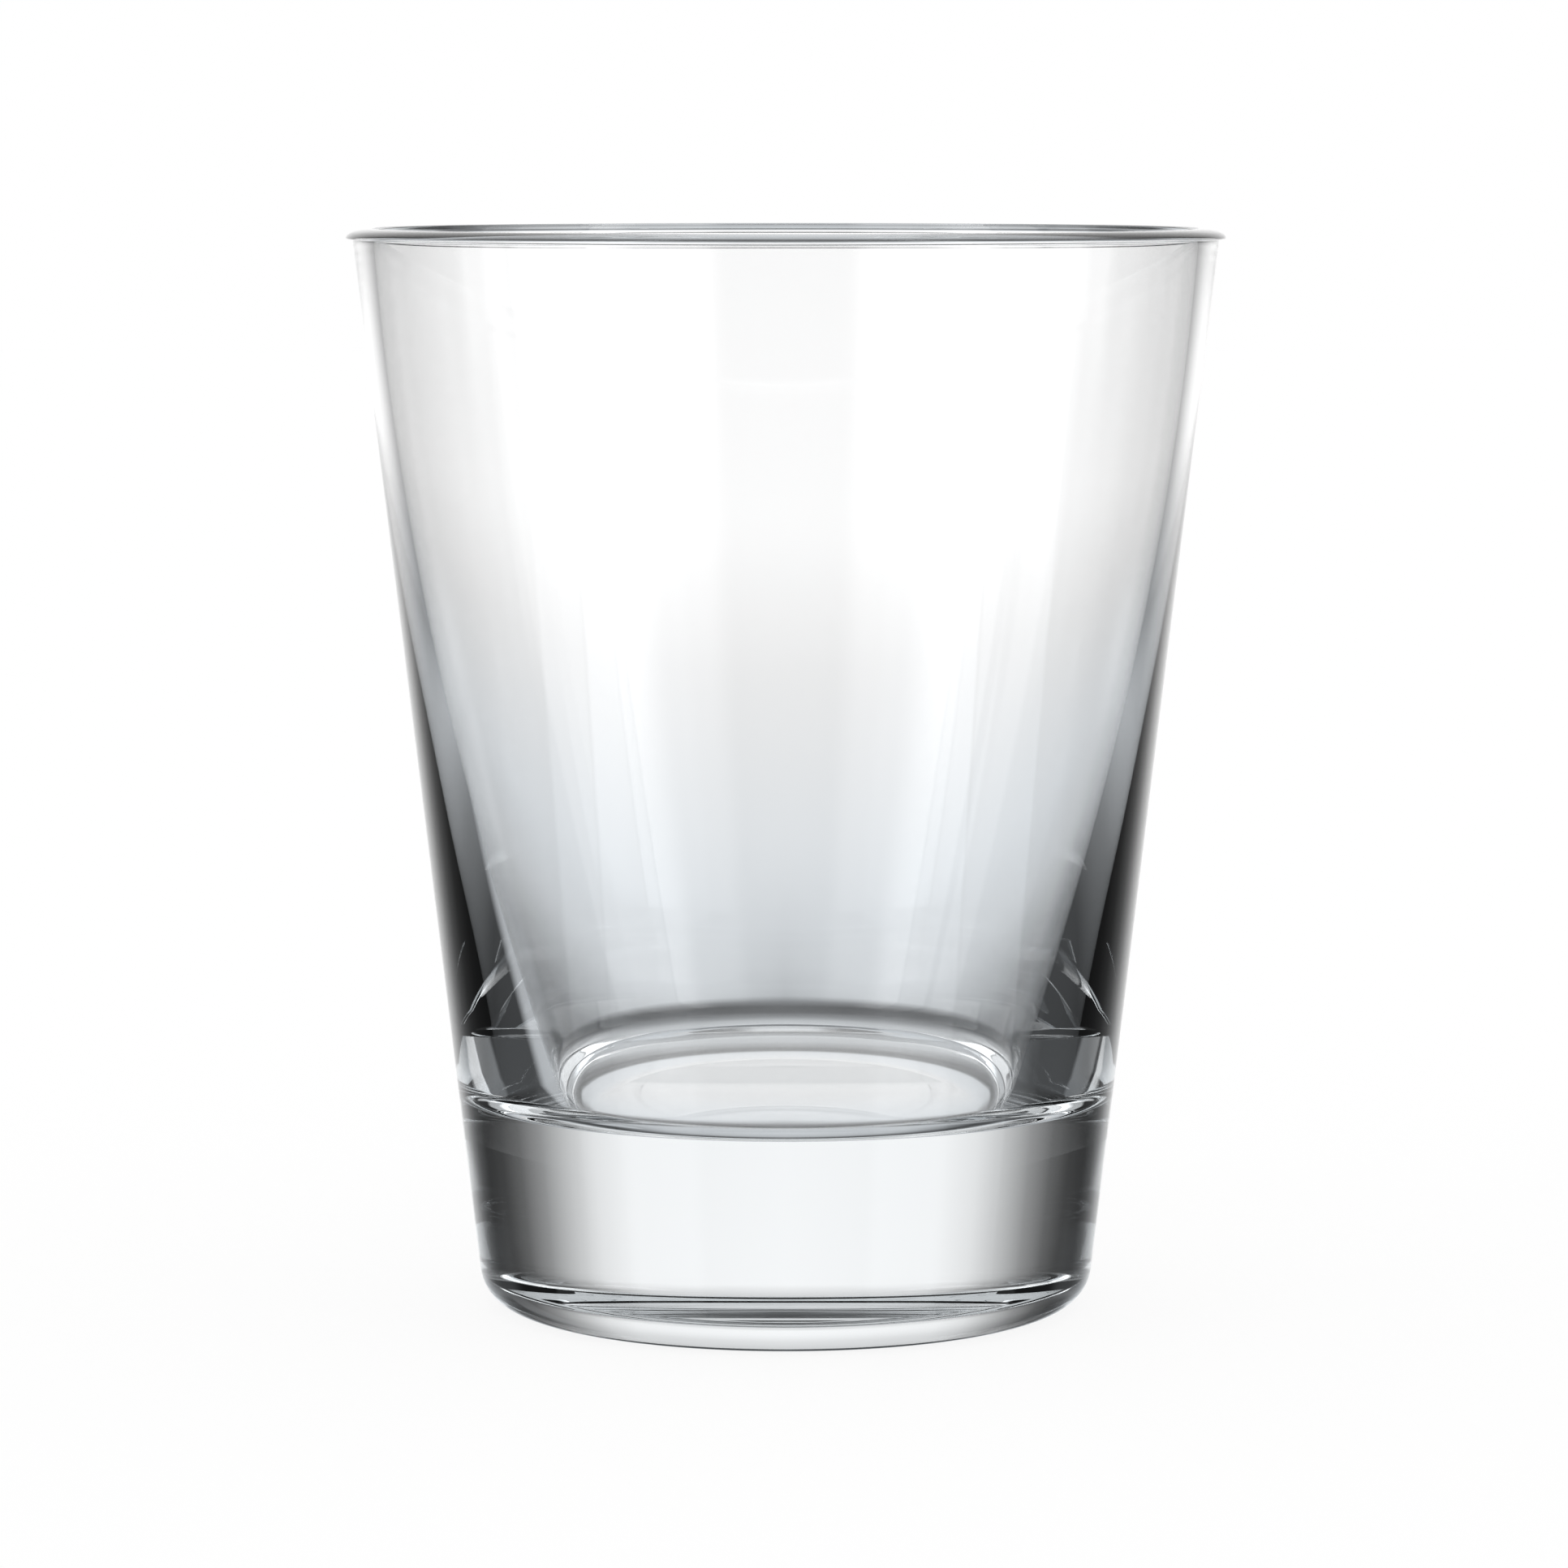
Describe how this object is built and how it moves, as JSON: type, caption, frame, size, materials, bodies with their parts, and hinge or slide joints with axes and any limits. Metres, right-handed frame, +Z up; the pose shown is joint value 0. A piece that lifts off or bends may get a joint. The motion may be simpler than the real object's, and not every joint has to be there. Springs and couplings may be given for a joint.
{
  "type": "mixing glass",
  "caption": "Tapered heavy-bottomed glass tumbler with a slim overhanging rim, for mixing drinks: straight outer wall, bowed cavity, thick solid base with a shallow hollow under it.",
  "frame": {"origin": "on the glass's axis, in the plane that the foot ring stands on", "axes": "+Z up along the glass's axis, towards the mouth; the glass is round, so +X and +Y are alike"},
  "size_m": [0.089, 0.089, 0.11],
  "materials": {
    "clear_glass": "clear pressed glass, fire-polished"
  },
  "bodies": {
    "root": {"glass_tumbler": "clear_glass"}
  },
  "joints": []
}
